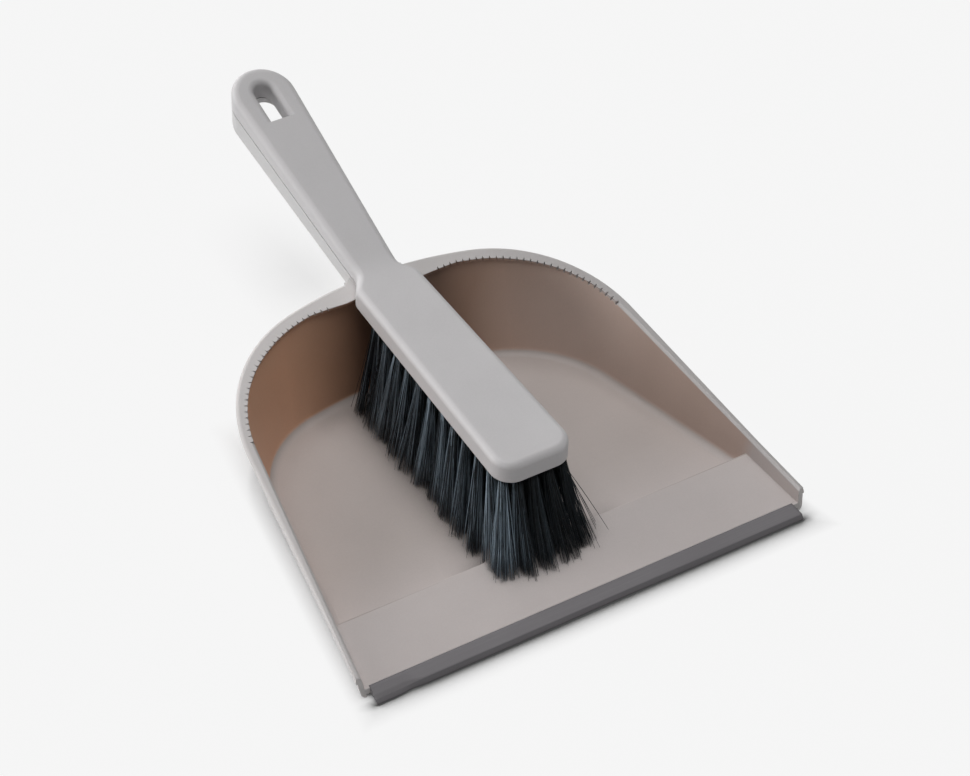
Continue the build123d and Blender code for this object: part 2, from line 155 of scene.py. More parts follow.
def noise(tree, where, scale, detail=3.0):
    """Noise at so many grains a metre."""
    values = {"Vector": where, "Scale": scale, "Detail": detail, "Roughness": 0.55}
    return node(tree, "TexNoise", values).outputs[0]


def stretched_noise(tree, where, scales, detail):
    """Noise with so many grains a metre along X, Y and Z."""
    stretched = node(tree, "Mapping", {"Vector": where, "Scale": scales}).outputs[0]
    return noise(tree, stretched, 1.0, detail)


def bump(tree, strength, depth, height, normal=None):
    """Fine relief, on top of a normal if one is given."""
    values = {"Strength": strength, "Distance": depth * MM, "Height": height}
    if normal is not None:
        values["Normal"] = normal
    return node(tree, "Bump", values).outputs[0]


def ramp(tree, value, colours):
    """Noise value turned into a run of colours."""
    made = node(tree, "ValToRGB", {"Fac": value})
    stops = made.color_ramp.elements
    while len(stops) < len(colours):
        stops.new(0.5)
    for i, colour in enumerate(colours):
        stops[i].position = 0.3 + 0.4 * i / (len(colours) - 1)
        stops[i].color = (*colour, 1)
    return made.outputs[0]


def blended(tree, amount, first, second):
    """Two colours mixed by an amount."""
    return node(tree, "Mix", {0: amount, 6: first, 7: second}, data_type="RGBA").outputs[2]


def scaled(colour, by):
    """A colour made lighter or darker."""
    return tuple(min(c * by, 1.0) for c in colour)


def srgb(red, green, blue):
    """Screen colour as linear light."""
    values = [c / 255 for c in (red, green, blue)]
    return tuple(c / 12.92 if c < 0.04045 else ((c + 0.055) / 1.055) ** 2.4 for c in values)


# Tones of the pan by place: painted light and shade in the tray and on the handle

PAN_TONES = {
    # Painted shade: the inside of the tray a little darker and warmer than the rim, the floor behind the
    # crest darker still
    "ramp": srgb(190, 182, 180),
    "floor": srgb(183, 174, 170),
    # Painted warm bounce light and shade on the inner walls, more orange towards the left
    "walls": srgb(222, 175, 145),
    # Painted shade: the brush's shadow on the back wall by its neck, and the walls darker towards their low
    # front
    "painted_shade": srgb(98, 74, 60),
    # Painted light on the back right wall
    "painted_corner_light": srgb(216, 195, 184),
    # Painted shadow: a thin dark line along the crest, towards its ends
    "painted_crest_shadow": srgb(140, 127, 121),
    # Painted light: the handle a little lighter and more neutral than the rest of the pan
    "handle": srgb(196, 195, 195),
}

# Soft borders of the tones, by depth below the rim's top
BEVEL_BORDER = (0.9, 1.4)
WALL_BORDER = (0.1, 0.5)

# Soft borders of the tones, by place
FLOOR_BORDER = (CREST_Y - 8, CREST_Y + 35)
BEHIND_CREST = (CREST_Y - 3, CREST_Y + 3)
LEFT_TO_RIGHT = (0, 90)
NOOK_LEFT, NOOK_RIGHT, NOOK_FRONT = (-54, -10), (29, 59), (30, 50)
LOW_END = (-70, -20)
BRIGHT_CORNER, BRIGHT_REACH = (74.0, 30.0, 25.0), (12, 45)
CREASE_FRONT, CREASE_BACK = (CREST_Y - 0.6, CREST_Y - 0.3), (CREST_Y, CREST_Y + 1)
CREASE_ENDS = (45, 85)
HANDLE_ROOT = (70, 85)

# Soft borders by how far a face looks up, back or to the middle of the tray
STEEP_FACE, LEVEL_FACE, RIM_FACE = (0.32, 0.62), (0.5, 0.7), (0.8, 0.95)
BACK_FACE = (0.1, 0.4)
INWARD_FACE, INWARD_WEIGHT = (0.05, 0.3), 1.3

# Shade by the bristle tips, and how far the rim's top falls outwards on its left and its right
CONTACT_SIDE, CONTACT_BACK, CONTACT_FRONT = (36, 46), (45, 60), (-95, -88)
CONTACT_REACH, CONTACT_OPENNESS = 14, (0.42, 0.97)
RIM_TILT_LEFT, RIM_TILT_RIGHT, RIM_TILT_BORDER = 0.16, 0.36, (55, 85)


def below_rim(tree, place):
    """Depth of a place below the plane of the rim's top."""
    at_origin = RIM_HEIGHT + RIM_SLOPE * (REST_STATION - RIM_STATION)
    rim = number(tree, "MULTIPLY_ADD", place[1], RIM_SLOPE, at_origin)
    return number(tree, "SUBTRACT", rim, place[2])


def outwards(tree, spot):
    """Level direction from the middle of the tray to a spot."""
    away = vector(tree, "SUBTRACT", spot, TRAY_MIDDLE)
    level = vector(tree, "MULTIPLY", away, (1.0, 1.0, 0.0))
    return vector(tree, "NORMALIZE", level)


def pan_masks(tree, spot, normal):
    """Amounts of the pan's painted light and shade at a spot in millimetres, in the order in which they
    cover each other.
    """
    place, facing = parts_of(tree, spot), parts_of(tree, normal)
    below = below_rim(tree, place)
    outward = measure(tree, "DOT_PRODUCT", outwards(tree, spot), normal)
    inward = number(tree, "MULTIPLY_ADD", outward, -INWARD_WEIGHT, facing[2])
    inward = rises(tree, inward, INWARD_FACE)
    inside = times(tree, inward, rises(tree, below, BEVEL_BORDER))
    steep = times(tree, falls(tree, facing[2], STEEP_FACE), falls(tree, facing[1], BACK_FACE))
    deep = spread(tree, place[1], 0.15, 1.0, *BEHIND_CREST)
    walls = times(tree, inward, steep, deep, rises(tree, below, WALL_BORDER))
    # The walls' painted bounce light and shade is strongest at the left
    warm = spread(tree, place[0], 1.0, 0.33, *LEFT_TO_RIGHT)
    # Painted shade by the brush's neck, and towards the walls' low front
    painted_shade = times(tree, rises(tree, place[0], NOOK_LEFT, 0.82), falls(tree, place[0], NOOK_RIGHT))
    painted_shade = times(tree, painted_shade, rises(tree, place[1], NOOK_FRONT))
    painted_shade = number(tree, "ADD", painted_shade, falls(tree, place[1], LOW_END, 0.22))
    # Painted light: a brighter patch on the back right wall
    corner = falls(tree, measure(tree, "DISTANCE", spot, BRIGHT_CORNER), BRIGHT_REACH, 0.8)
    # Painted shadow line along the crest, towards its ends
    painted_crest_shadow = times(tree, rises(tree, place[1], CREASE_FRONT), falls(tree, place[1], CREASE_BACK))
    painted_crest_shadow = times(tree, painted_crest_shadow, rises(tree, number(tree, "ABSOLUTE", place[0]), CREASE_ENDS, 0.5))
    painted_crest_shadow = times(tree, painted_crest_shadow, rises(tree, facing[2], LEVEL_FACE))
    return {
        # Painted shade inside the tray, darker on the floor behind the crest
        "ramp": inside,
        "floor": times(tree, inside, rises(tree, place[1], FLOOR_BORDER)),
        # Painted warm bounce light and shade on the inner walls
        "walls": times(tree, walls, warm),
        "painted_shade": times(tree, walls, painted_shade),
        "painted_corner_light": times(tree, walls, corner),
        "painted_crest_shadow": times(tree, inside, painted_crest_shadow),
        # Painted light on the handle
        "handle": rises(tree, place[1], HANDLE_ROOT),
    }


def brush_contact(tree, spot):
    """Soft shade in the tray, close to the bristle tips."""
    place = parts_of(tree, spot)
    across = number(tree, "ABSOLUTE", place[0])
    near = times(tree, falls(tree, across, CONTACT_SIDE), falls(tree, place[1], CONTACT_BACK))
    near = times(tree, near, rises(tree, place[1], CONTACT_FRONT))
    clear = node(tree, "AmbientOcclusion", {"Distance": CONTACT_REACH * MM}, samples=8).outputs["AO"]
    return times(tree, near, falls(tree, clear, CONTACT_OPENNESS, 0.85))


def crowned_rim(tree, spot, normal, soft):
    """Normal of the rim's top, which falls a little towards its outer edge."""
    place, facing = parts_of(tree, spot), parts_of(tree, normal)
    top = times(tree, falls(tree, below_rim(tree, place), BEVEL_BORDER), rises(tree, facing[2], RIM_FACE))
    tilt = times(tree, top, spread(tree, place[0], RIM_TILT_LEFT, RIM_TILT_RIGHT, *RIM_TILT_BORDER))
    tilted = vector(tree, "ADD", soft, lengthened(tree, outwards(tree, spot), tilt))
    return vector(tree, "NORMALIZE", tilted)


# Materials


def cloudy(tree, value, colour):
    """A colour that varies a little with a noise value."""
    return ramp(tree, value, [scaled(colour, 0.94), colour, scaled(colour, 1.05)])


def moulded_plastic(name, colour, worn, edge, glow, tones=None):
    """Satin moulded plastic: cloudy tone, fine spark-eroded grain, faint scuffs and paler worn edges.

    edge is the radius that its edges are softened to, and tones gives the pan's other colours.
    """
    rough = 0.5
    material, tree = fresh(name)
    where = object_place(tree)
    cloud = noise(tree, where, 22.0, 4.0)
    grain = noise(tree, where, 1500.0, 2.0)
    mixed = number(tree, "MULTIPLY_ADD", grain, 0.35, times(tree, cloud, 0.65))
    body = cloudy(tree, mixed, colour)
    soft = node(tree, "Bevel", {"Radius": edge * MM}, samples=6).outputs[0]
    true = node(tree, "NewGeometry").outputs["Normal"]
    rubbed = spread(tree, measure(tree, "DOT_PRODUCT", soft, true), 0.5, 0.0, 0.85, 0.99)
    if tones:
        spot = lengthened(tree, where, 1 / MM)
        for part, amount in pan_masks(tree, spot, true).items():
            body = blended(tree, amount, body, cloudy(tree, mixed, tones[part]))
        body = blended(tree, brush_contact(tree, spot), body, (*scaled(tones["floor"], 0.12), 1))
        soft = crowned_rim(tree, spot, true, soft)
    patchy = spread(tree, noise(tree, where, 160.0, 4.0), 0.2, 1.0)
    body = blended(tree, times(tree, rubbed, patchy), body, (*worn, 1))
    scuffs = stretched_noise(tree, where, (35.0, 900.0, 60.0), 2.0)
    gloss = number(tree, "ADD", cloud, scuffs)
    grained = bump(tree, 0.25, 0.06, grain, soft)
    shader(
        tree,
        {
            "Base Color": body,
            "Roughness": spread(tree, gloss, rough - 0.05, rough + 0.06, 0.7, 1.3),
            "IOR": 1.46,
            "Subsurface Weight": glow,
            "Subsurface Radius": (1.0, 0.9, 0.85),
            "Subsurface Scale": 0.0016,
            "Normal": bump(tree, 0.12, 0.05, scuffs, grained),
        },
    )
    return material


def lip_rubber(name, colour):
    """Soft dark rubber: dusty patches, fine flow lines along the strip, painted shade on the front face
    below the nose, and a dull sheen.
    """
    shaded_nose_border = (2.1, 2.4)
    material, tree = fresh(name)
    where = object_place(tree)
    cloud = noise(tree, where, 60.0, 5.0)
    lines = stretched_noise(tree, where, (12.0, 1400.0, 1400.0), 3.0)
    dust = noise(tree, where, 2600.0, 2.0)
    mixed = times(tree, number(tree, "ADD", cloud, lines), 0.5)
    body = ramp(tree, mixed, [scaled(colour, 0.86), colour, scaled(colour, 1.12)])
    specks = rises(tree, dust, (0.62, 0.8), 0.14)
    body = blended(tree, specks, body, (*scaled(colour, 2.0), 1))
    height = parts_of(tree, lengthened(tree, where, 1 / MM))[2]
    # Painted shade: the lip's front face below the nose is darker
    body = blended(tree, falls(tree, height, shaded_nose_border, 0.8), body, (*scaled(colour, 0.65), 1))
    shader(
        tree,
        {
            "Base Color": body,
            "Roughness": spread(tree, cloud, 0.5, 0.66),
            "IOR": 1.5,
            "Sheen Weight": 0.08,
            "Normal": bump(tree, 0.3, 0.08, mixed),
        },
    )
    return material


def bristle_nylon(name, dark, middle, pale):
    """Near-black filament: each strand has its own shade, and its flagged tip is duller."""
    material, tree = fresh(name)
    own = node(tree, "Attribute", attribute_name="strand_tone_and_painted_light").outputs["Fac"]
    along = node(tree, "Attribute", attribute_name="strand_run").outputs["Fac"]
    streak = noise(tree, object_place(tree), 700.0, 2.0)
    value = number(tree, "MULTIPLY_ADD", streak, 0.2, own)
    body = ramp(tree, spread(tree, value, 0.3, 0.7, 0.1, 1.1), [dark, middle, pale])
    body = blended(tree, rises(tree, along, (0.8, 1.0), 0.3), body, (*middle, 1))
    shader(
        tree,
        {
            "Base Color": body,
            "Roughness": spread(tree, own, 0.26, 0.42, 0.0, 1.0),
            "IOR": 1.56,
            "Specular IOR Level": 0.16,
            "Normal": bump(tree, 0.15, 0.05, streak),
        },
    )
    return material


def staple_steel(name):
    """Drawn steel of the tuft staples, with wire marks and a few dull spots."""
    material, tree = fresh(name)
    where = object_place(tree)
    marks = stretched_noise(tree, where, (300.0, 300.0, 5000.0), 3.0)
    spots = noise(tree, where, 900.0, 4.0)
    shader(
        tree,
        {
            "Base Color": ramp(tree, spots, [srgb(150, 148, 144), srgb(176, 175, 172), srgb(192, 192, 190)]),
            "Metallic": 1.0,
            "Roughness": spread(tree, marks, 0.25, 0.5),
            "Normal": bump(tree, 0.2, 0.03, marks),
        },
    )
    return material


pan_plastic = moulded_plastic(
    "pan_plastic", srgb(192, 188, 187), worn=srgb(210, 207, 205), edge=0.5, glow=0.15, tones=PAN_TONES
)
brush_plastic = moulded_plastic(
    "brush_plastic", srgb(192, 190, 191), worn=srgb(212, 211, 211), edge=0.4, glow=0.1
)
rubber = lip_rubber("lip_rubber", srgb(102, 99, 102))
nylon = bristle_nylon("bristle_nylon", srgb(11, 13, 15), srgb(52, 60, 66), srgb(146, 162, 175))
steel = staple_steel("staple_steel")


def dress(name, material):
    """Better material on every slot of a CAD node."""
    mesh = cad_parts[name].data
    for i in range(len(mesh.materials)):
        mesh.materials[i] = material


dress("pan", pan_plastic)
dress("brush_block", brush_plastic)
dress("tuft_staples", steel)


def made_mesh(name, points, faces, materials, picks=None, smooth=True):
    """Object from points in millimetres and faces, with a material picked for each face."""
    mesh = bpy.data.meshes.new(name)
    mesh.from_pydata((np.asarray(points) * MM).tolist(), [], faces)
    for material in materials:
        mesh.materials.append(material)
    if picks is not None:
        mesh.polygons.foreach_set("material_index", picks)
    mesh.polygons.foreach_set("use_smooth", [smooth] * len(mesh.polygons))
    mesh.update()
    made = bpy.data.objects.new(name, mesh)
    bpy.context.scene.collection.objects.link(made)
    return made


def curve(start, middle, end, share):
    """Points of a curve that leaves its start towards a middle point and comes to its end."""
    return (1 - share) ** 2 * start + 2 * share * (1 - share) * middle + share**2 * end


# Bristles: strands of each tuft, and the rings along each strand
STRANDS_PER_TUFT, LOCKS_PER_TUFT = 170, 9
RINGS, SIDES = 6, 3
STRAND_RADIUS, STRAY_RADIUS, TIP_TAPER = 0.13, 0.195, 0.45
TUFT_RADIUS, ROOT_DEPTH = 1.7, 0.5
FLOOR_CLEARANCE, TIP_CLEARANCE, LONGEST_CUT = 0.3, 0.35, 6.0

# How strands scatter: pulled together in locks, then each lock and each strand goes its own way
LOCK_PULL, LOCK_SCATTER, STRAND_SCATTER = 0.3, 0.6, 1.0
LOCK_BOW, STRAND_BOW, CUT_SCATTER = 0.5, 0.4, 0.7
ROOT_HANG = 0.3

# Painted light and shade of the strands: the left row painted paler as if lit, the right rows painted darker
# as if in shade
PALE_ROW_X, PALE_REACH = -14, 6
DARK_BORDER, DARK_SHARE = (-10, 6), 0.62

# Where the tufts come down: how they spread and lean, more so at the front
TIP_SPREAD, FRONT_SPREAD = 1.26, 0.14
SIDE_LEAN, FRONT_SIDE_LEAN = 5.6, 2.4
BACK_LEAN, FRONT_LEAN = 4, 21
FRONT_ROUND, OUTER_ROW = 2.5, 14.5
OVERHANG, OVERHANG_STATION, OVERHANG_REACH = 5, 62.7, 4
FRONT_SPLAY, SPLAY = 3.1, 3.0

# Long strands that stand away from the front right tufts, from their first root to their tips
STRAY_ROOT = (13.2, 53.4)
STRAY_TIPS = [
    (21.0, 34.0, 11.0),
    (19.5, 31.5, 11.5),
    (24.5, 29.5, 10.5),
    (22.6, 36.5, 10.5),
    (17.5, 30.0, 10.5),
]
STRAY_SHADE = 0.15


def floor_z(station):
    """Height of the pan's inside at stations."""
    stations = [LIP_DEPTH, CREST_STATION, SLOPE_END]
    return np.interp(station, stations, [RAMP_HEIGHT, CREST_HEIGHT, FLOOR_HEIGHT])


def head_bottom_z(station):
    """Height of the underside of the brush head."""
    return HEAD_HEIGHT + (station - HEAD_FRONT) * math.tan(HEAD_SLOPE)


def tuft_point(row, index):
    """X and station where a tuft leaves the head."""
    station = FIRST_TUFT + (LAST_TUFT - FIRST_TUFT) * index / (TUFTS_PER_ROW - 1)
    share = (station - HEAD_FRONT) / (HEAD_BACK - HEAD_FRONT)
    width = HEAD_FRONT_WIDTH + (HEAD_BACK_WIDTH - HEAD_FRONT_WIDTH) * share
    return ((width / 2 - EDGE_INSET) * (2 * row / (ROWS - 1) - 1), station)


def tip_of(x, station):
    """X and station where a strand from a place on the head comes down."""
    share = (LAST_TUFT - station) / (LAST_TUFT - FIRST_TUFT)
    rounded = FRONT_ROUND * share**4 * (x / OUTER_ROW) ** 2
    tip_x = (TIP_SPREAD + FRONT_SPREAD * share**4) * x - SIDE_LEAN - FRONT_SIDE_LEAN * share**2
    over = OVERHANG * math.exp(-(((station - OVERHANG_STATION) / OVERHANG_REACH) ** 2))
    return tip_x, station - BACK_LEAN - FRONT_LEAN * share**2 + rounded - over


def tuft_strands(rng, row, index):
    """Middle lines of one tuft's strands, as an array of strand, ring and place, and each strand's shade."""
    count = STRANDS_PER_TUFT
    x, station = tuft_point(row, index)
    turn = rng.uniform(0, 2 * math.pi, count)
    reach = TUFT_RADIUS * np.sqrt(rng.uniform(0, 1, count))
    own = np.stack([reach * np.cos(turn), reach * np.sin(turn)], 1)
    # Strands of a tuft hang together in a few locks that part towards the tips
    middles = own[:LOCKS_PER_TUFT]
    lock = np.argmin(np.linalg.norm(own[:, None] - middles[None], axis=2), axis=1)
    splay = FRONT_SPLAY if index < FRONT_TUFTS else SPLAY
    fan = splay * (LOCK_PULL * middles[lock] + (1 - LOCK_PULL) * own)
    fan += rng.normal(0, LOCK_SCATTER, (LOCKS_PER_TUFT, 2))[lock]
    fan += rng.normal(0, STRAND_SCATTER, (count, 2))
    tip_x, tip_s = tip_of(x, station)
    tip_s = tip_s + fan[:, 1]
    short = np.minimum(TIP_CLEARANCE + rng.exponential(CUT_SCATTER, count), LONGEST_CUT)
    tip = np.stack([tip_x + fan[:, 0], tip_s, floor_z(tip_s) + short], 1)
    root_s = station + own[:, 1]
    root = np.stack([x + own[:, 0], root_s, head_bottom_z(root_s) + ROOT_DEPTH], 1)
    run = np.linalg.norm(tip - root, axis=1, keepdims=True)
    leave = (1 - ROOT_HANG) * (tip - root) / run - ROOT_HANG * HEAD_NORMAL
    bow = rng.normal(0, LOCK_BOW, (LOCKS_PER_TUFT, 3))[lock]
    bow += rng.normal(0, STRAND_BOW, (count, 3))
    middle = root + leave * run / 2 + bow * (1, 1, 0.2)
    share = np.linspace(0, 1, RINGS)[None, :, None]
    lines = curve(root[:, None], middle[:, None], tip[:, None], share)
    lines[:, :, 2] = np.maximum(lines[:, :, 2], floor_z(lines[:, :, 1]) + FLOOR_CLEARANCE)
    # Each lock and each strand has its own shade, mostly dark
    shade = 0.5 * rng.beta(0.7, 1.4, LOCKS_PER_TUFT)[lock] + 0.7 * rng.beta(0.5, 1.3, count)
    # Painted light on the left row and painted shade across the right rows, on top of the strands' own tones
    pale = math.exp(-(((x - PALE_ROW_X) / PALE_REACH) ** 2))
    dark = np.interp(x, DARK_BORDER, (0, DARK_SHARE))
    return lines, np.minimum(shade * (1.05 + 0.5 * pale - dark) + 0.07 * pale, 1.0)


def stray_lines():
    """Middle lines of the strands that stand away from the front right tufts."""
    x, station = STRAY_ROOT
    share = np.linspace(0, 1, RINGS)[:, None]
    lines = []
    for i, end in enumerate(STRAY_TIPS):
        root = np.array([x - 0.5 * i, station + 0.4 * i, head_bottom_z(station) + 0.4])
        tip = np.array(end)
        middle = (root + tip) / 2 + (0.6 + 0.2 * i, 0.5, 0.8)
        lines.append(curve(root, middle, tip, share))
    return np.array(lines)


def strand_tubes(lines, radius):
    """Three-sided tapered tubes along the strands: points, faces and the run along each strand."""
    across = (1.0, 0.2, 0.1)
    ahead = np.gradient(lines, axis=1)
    ahead /= np.linalg.norm(ahead, axis=2, keepdims=True)
    side = np.cross(ahead, across)
    side /= np.linalg.norm(side, axis=2, keepdims=True)
    other = np.cross(ahead, side)
    run = np.linspace(0, 1, RINGS)
    thick = radius[:, None] * (1 - TIP_TAPER * run**3)
    turns = np.arange(SIDES) * 2 * math.pi / SIDES
    ring = side[:, :, None] * np.cos(turns)[:, None] + other[:, :, None] * np.sin(turns)[:, None]
    points = lines[:, :, None] + ring * thick[:, :, None, None]
    faces = []
    for strand in range(len(lines)):
        base = strand * RINGS * SIDES
        for i in range(RINGS - 1):
            low = base + SIDES * i
            for k in range(SIDES):
                j = (k + 1) % SIDES
                faces.append((low + k, low + j, low + SIDES + j, low + SIDES + k))
        top = base + SIDES * (RINGS - 1)
        faces.append((base + 2, base + 1, base))
        faces.append((top, top + 1, top + 2))
    along = np.tile(np.repeat(run, SIDES), len(lines))
    return points.reshape(-1, 3), faces, along


def slice_plate(tufts):
    """Backing plate in its groove of the head: a rounded hull of the tufts, flush with the underside."""
    count = 48
    flat = np.array([(x, (s - HEAD_FRONT) / math.cos(HEAD_SLOPE)) for x, s in tufts])
    turns = np.linspace(0, 2 * math.pi, count, endpoint=False)
    circles = np.stack([np.cos(turns), np.sin(turns)], 1) * SLICE_WIDTH / 2
    # The farthest point in each direction gives the hull of the circles round the tufts
    best = [flat[np.argmax(flat @ c)] + c for c in circles]
    ahead = np.array([0, math.cos(HEAD_SLOPE), math.sin(HEAD_SLOPE)])
    origin = np.array([0, HEAD_FRONT, HEAD_HEIGHT])
    points = []
    for inset, depth in ((SLICE_ROUND, 0.0), (0.0, SLICE_ROUND), (0.0, SLICE_THICKNESS)):
        for c, p in zip(circles, best):
            x, y = p - inset * c / (SLICE_WIDTH / 2)
            points.append(origin + (x, 0, 0) + ahead * y + HEAD_NORMAL * depth)
    faces = [tuple(range(count)), tuple(range(2 * count, 3 * count))[::-1]]
    for low in (0, count):
        for i in range(count):
            j = (i + 1) % count
            faces.append((low + j, low + i, low + count + i, low + count + j))
    return np.array(points), faces


def bristles(name, node_name, places, seed, strays=None):
    """Tufts of loose strands with their backing plate, in place of a CAD bristle node."""
    rng = np.random.default_rng(seed)
    tufts = [tuft_strands(rng, row, index) for row, index in places]
    lines = np.concatenate([line for line, _ in tufts])
    shades = np.concatenate([shade for _, shade in tufts])
    radius = np.full(len(lines), STRAND_RADIUS)
    if strays is not None:
        lines = np.concatenate([lines, strays])
        shades = np.concatenate([shades, np.full(len(strays), STRAY_SHADE)])
        radius = np.concatenate([radius, np.full(len(strays), STRAY_RADIUS)])
    points, faces, along = strand_tubes(lines, radius)
    plate, plate_faces = slice_plate([tuft_point(row, index) for row, index in places])
    shift = len(points)
    strand_faces = len(faces)
    faces = faces + [tuple(i + shift for i in face) for face in plate_faces]
    points = np.concatenate([points, plate])
    points[:, 1] -= REST_STATION
    picks = [0] * strand_faces + [1] * len(plate_faces)
    piece = made_mesh(name, points, faces, [nylon, brush_plastic], picks)
    mesh = piece.data
    for i in range(strand_faces, strand_faces + 2):
        mesh.polygons[i].use_smooth = False
    shade = np.repeat(shades, RINGS * SIDES)
    for label, values in (("strand_tone_and_painted_light", shade), ("strand_run", along)):
        attribute = mesh.attributes.new(label, "FLOAT", "POINT")
        attribute.data.foreach_set("value", np.concatenate([values, np.zeros(len(plate))]))
    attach(piece, "brush")
    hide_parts(node_name)


front_places = [(row, index) for row in range(ROWS) for index in range(FRONT_TUFTS)]
bristles("bristles_front", "bristle_front", front_places, 11, stray_lines())
for row in range(ROWS):
    row_places = [(row, index) for index in range(FRONT_TUFTS, TUFTS_PER_ROW)]
    bristles(f"bristles_row_{row + 1}", f"bristle_row_{row + 1}", row_places, 21 + row)


# Rubber lip: its half length at the rim's front, its section, and the curl and dent near its left end
LIP_HALF_LENGTH, LIP_STEPS, LIP_REACH = 105.4, 240, 106.5
NOSE_DEPTH, NOSE_HEIGHT, HEEL_HEIGHT = 1.7, 2.2, 0.3
CURL_START, CURL_LENGTH = -82, 12
DENT_X, DENT_REACH, DENT_DEPTH = -90, 4.5, 0.5


def lip_end(station, height):
    """Half length of the lip between the planes of the walls."""
    return LIP_HALF_LENGTH + height * WALL_DRAFT - (station - RIM_STATION) * SIDE_TAPER


def lip_section(x):
    """Cross-section of the lip as (station, height): heel, underside, edge, nose and top face."""
    curl = np.clip((CURL_START - x) / CURL_LENGTH, 0, 1)
    curl = curl * curl * (3 - 2 * curl)
    dent = DENT_DEPTH * math.exp(-(((x - DENT_X) / DENT_REACH) ** 2))
    sway = 0.16 + 0.14 * math.sin(0.055 * x + 1.0) * math.cos(0.021 * x) - 0.12 * curl
    lift = 0.18 + 0.14 * math.sin(0.043 * x + 2.0)
    edge = max(sway, 0.02) + dent
    nose_s = NOSE_DEPTH + 0.4 * edge
    nose_z = NOSE_HEIGHT - 0.55 * curl - 0.15 * dent + 0.3 * lift
    underside = [(LIP_DEPTH, HEEL_HEIGHT), (5.4, 0.24), (2.4, 0.14 + 0.3 * lift)]
    rounded = [(0.55, 0.05), (0.18, 0.06), (0.0, 0.2), (0.1, 0.42)]
    rounded = [(edge + back, height + lift) for back, height in rounded]
    low_s, low_z = rounded[-1]
    front = [(low_s + (nose_s - low_s) * share, low_z + (nose_z - low_z) * share) for share in (0.45, 0.8)]
    nose = [(nose_s - 0.08, nose_z - 0.04), (nose_s + 0.25, nose_z + 0.06)]
    top = []
    for share in (0.3, 0.65):
        sag = 0.25 * curl * share * (1 - share)
        top.append((nose_s + (LIP_DEPTH - nose_s) * share, nose_z + (RAMP_HEIGHT - nose_z) * share - sag))
    back = [(LIP_DEPTH - 0.2, RAMP_HEIGHT - 0.04), (LIP_DEPTH, RAMP_HEIGHT - 0.08)]
    return underside + rounded + front + nose + top + back


def lip_piece():
    """Rubber strip on the front edge, with a slightly wavy nose and a curl at its left end."""
    points, faces = [], []
    size = len(lip_section(0.0))
    for i in range(LIP_STEPS + 1):
        share = 2 * i / LIP_STEPS - 1
        for station, height in lip_section(share * LIP_REACH):
            points.append((share * lip_end(station, height), station - REST_STATION, height))
    for i in range(LIP_STEPS):
        for k in range(size):
            j = (k + 1) % size
            a, b = i * size, (i + 1) * size
            faces.append((a + k, a + j, b + j, b + k))
    faces.append(tuple(range(size))[::-1])
    faces.append(tuple(range(LIP_STEPS * size, (LIP_STEPS + 1) * size)))
    piece = made_mesh("lip_strip", points, faces, [rubber])
    for polygon in piece.data.polygons[-2:]:
        polygon.use_smooth = False
    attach(piece, "pan")
    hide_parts("lip_seal")


lip_piece()


# Floor: its colour, the reach of the object's shadow round the pan, the shadow under the handle, and a
# contact shadow painted in front of the lip
GROUND_COLOUR = srgb(245, 245, 245)
GROUND_HALF, GROUND_Z = 4000, -0.2
SHADOW_BORDER, SHADOW_AT_SIDES, SHADOW_BEHIND = (1.5, 11), 5, 60
HANDLE_SHADOW_X, HANDLE_SHADOW_HALF = 8, (0, 34)
HANDLE_SHADOW_START, HANDLE_SHADOW_END = (110, 145), (160, 220)
LIP_SHADOW_REACH, LIP_SHADOW_OPENNESS, LIP_SHADOW_BORDER = 9, (0.87, 0.985), (-4, 0)


def backdrop_seen(tree):
    """Whether a ray shows the pale backdrop: straight from the camera, or in gloss or glass."""
    path = node(tree, "LightPath").outputs
    seen = path["Is Camera Ray"]
    for kind in ("Is Glossy Ray", "Is Transmission Ray"):
        seen = number(tree, "MAXIMUM", seen, path[kind])
    return seen


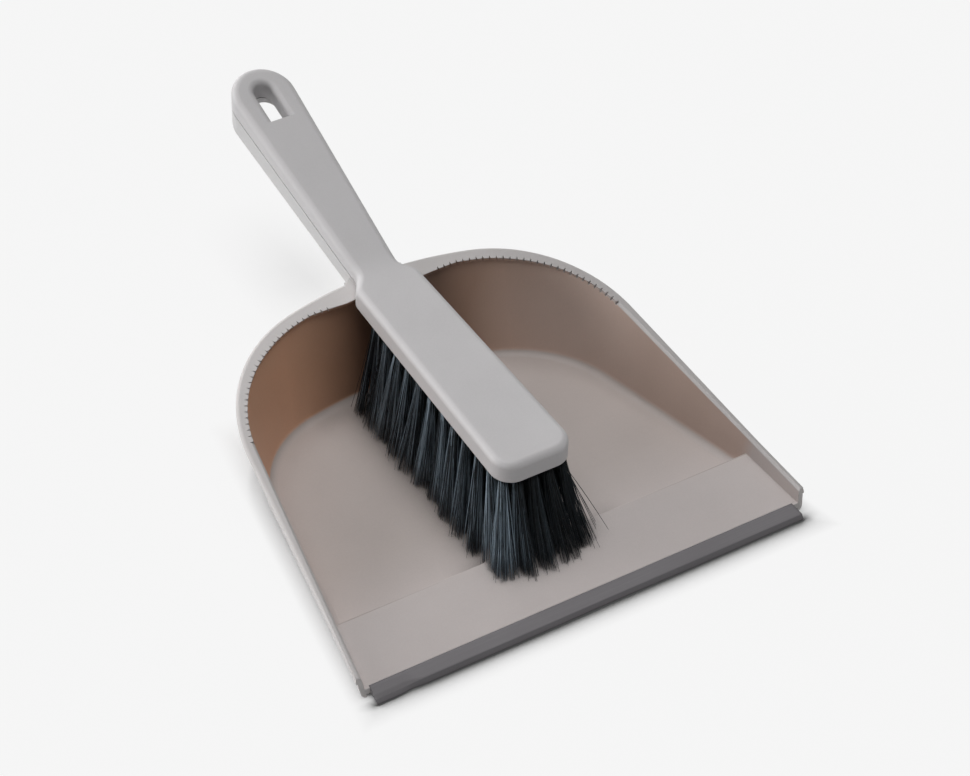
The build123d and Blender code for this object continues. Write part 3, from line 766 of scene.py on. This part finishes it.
def ground_material():
    """Pale floor that keeps the object's shadow, with a contact shadow painted in front of the lip, and
    blends into the plain backdrop away from it.
    """
    material, tree = fresh("ground")
    place = parts_of(tree, lengthened(tree, object_place(tree), 1 / MM))
    # How far a place lies outside the pan: beside its tapering sides, before its lip or behind it
    half = PAN_HALF_WIDTH - REST_STATION * SIDE_TAPER - SHADOW_AT_SIDES
    half = number(tree, "MULTIPLY_ADD", place[1], -SIDE_TAPER, half)
    aside = number(tree, "SUBTRACT", number(tree, "ABSOLUTE", place[0]), half)
    before = number(tree, "SUBTRACT", -REST_STATION, place[1])
    behind = times(tree, number(tree, "SUBTRACT", place[1], SHADOW_BEHIND), 0.6)
    away = number(tree, "MAXIMUM", number(tree, "MAXIMUM", aside, before), behind)
    beside = number(tree, "ABSOLUTE", number(tree, "SUBTRACT", place[0], HANDLE_SHADOW_X))
    beneath = times(
        tree,
        falls(tree, beside, HANDLE_SHADOW_HALF, 0.45),
        rises(tree, place[1], HANDLE_SHADOW_START),
        falls(tree, place[1], HANDLE_SHADOW_END),
    )
    # Painted contact shadow: in front of the lip the floor darkens towards black where its ambient occlusion
    # is low
    clear = node(tree, "AmbientOcclusion", {"Distance": LIP_SHADOW_REACH * MM}, samples=12).outputs["AO"]
    painted_lip_shadow = falls(tree, clear, LIP_SHADOW_OPENNESS, 0.97)
    painted_lip_shadow = times(tree, painted_lip_shadow, spread(tree, before, 0.2, 1.0, *LIP_SHADOW_BORDER))
    tone = blended(tree, painted_lip_shadow, (*GROUND_COLOUR, 1), (0.02, 0.02, 0.02, 1))
    matt = node(tree, "BsdfDiffuse", {"Color": tone})
    glow = node(tree, "Emission", {"Color": (*GROUND_COLOUR, 1), "Strength": 1.01})
    open_floor = number(tree, "SUBTRACT", 1.0, beneath)
    plain = times(tree, backdrop_seen(tree), spread(tree, away, 0.05, 0.97, *SHADOW_BORDER), open_floor)
    both = node(tree, "MixShader", {0: plain, 1: matt.outputs[0], 2: glow.outputs[0]})
    node(tree, "OutputMaterial", {"Surface": both.outputs[0]})
    return material


corners = [(-1, -1), (1, -1), (1, 1), (-1, 1)]
ground = made_mesh(
    "ground",
    [(x * GROUND_HALF, y * GROUND_HALF, GROUND_Z) for x, y in corners],
    [(0, 1, 2, 3)],
    [ground_material()],
    smooth=False,
)


# Light


def sun(name, towards, strength, angle):
    """Wide soft light from far away."""
    lamp = bpy.data.lights.new(name, "SUN")
    lamp.energy = strength * math.pi
    lamp.angle = math.radians(angle)
    made = bpy.data.objects.new(name, lamp)
    made.rotation_mode = "QUATERNION"
    made.rotation_quaternion = Vector(towards).to_track_quat("-Z", "Y")
    bpy.context.scene.collection.objects.link(made)


sun("softbox_top", towards=(0.0, 0.0, -1.0), strength=0.595, angle=60)
sun("softbox_left_back", towards=(0.664, -0.664, -0.342), strength=0.42, angle=30)
sun("card_left_back", towards=(0.936, -0.341, -0.087), strength=0.33, angle=30)
sun("card_back", towards=(0.0, -0.94, -0.342), strength=0.2, angle=20)


def studio():
    """World with a little light from all round, which shows as the plain backdrop."""
    world = bpy.data.worlds.new("studio")
    bpy.context.scene.world = world
    world.use_nodes = True
    tree = world.node_tree
    tree.nodes.clear()
    dim = node(tree, "Background", {"Color": (1.0, 1.0, 1.0, 1), "Strength": 0.02})
    plain = node(tree, "Background", {"Color": (*GROUND_COLOUR, 1), "Strength": 1.0})
    both = node(tree, "MixShader", {0: backdrop_seen(tree), 1: dim.outputs[0], 2: plain.outputs[0]})
    node(tree, "OutputWorld", {"Surface": both.outputs[0]})


studio()

# Camera fitted to the rim, lip, handle and brush of the photograph: place in metres, lens in pixels
CAMERA_PLACE = (-0.54261, -0.8529, 0.88849)
HEADING, PITCH, ROLL = math.radians(-33.067), math.radians(39.947), math.radians(-1.335)
LENS_PIXELS, IMAGE_WIDTH = 3053.28, 970
SENSOR_WIDTH = 36.0


def photo_camera():
    """Camera at the photograph's viewing angle."""
    level = math.cos(PITCH)
    ahead = Vector((-math.sin(HEADING) * level, math.cos(HEADING) * level, -math.sin(PITCH)))
    right = Vector((math.cos(HEADING), math.sin(HEADING), 0))
    down = ahead.cross(right)
    across = math.cos(ROLL) * right + math.sin(ROLL) * down
    below = -math.sin(ROLL) * right + math.cos(ROLL) * down
    lens = bpy.data.cameras.new("camera")
    lens.sensor_width = SENSOR_WIDTH
    lens.lens = SENSOR_WIDTH * LENS_PIXELS / IMAGE_WIDTH
    lens.clip_end = 50.0
    camera = bpy.data.objects.new("camera", lens)
    turn = Matrix((across, -below, -ahead)).transposed().to_4x4()
    camera.matrix_world = Matrix.Translation(CAMERA_PLACE) @ turn
    bpy.context.scene.collection.objects.link(camera)
    return camera


bpy.context.scene.camera = photo_camera()
bpy.context.scene.view_settings.view_transform = "Standard"
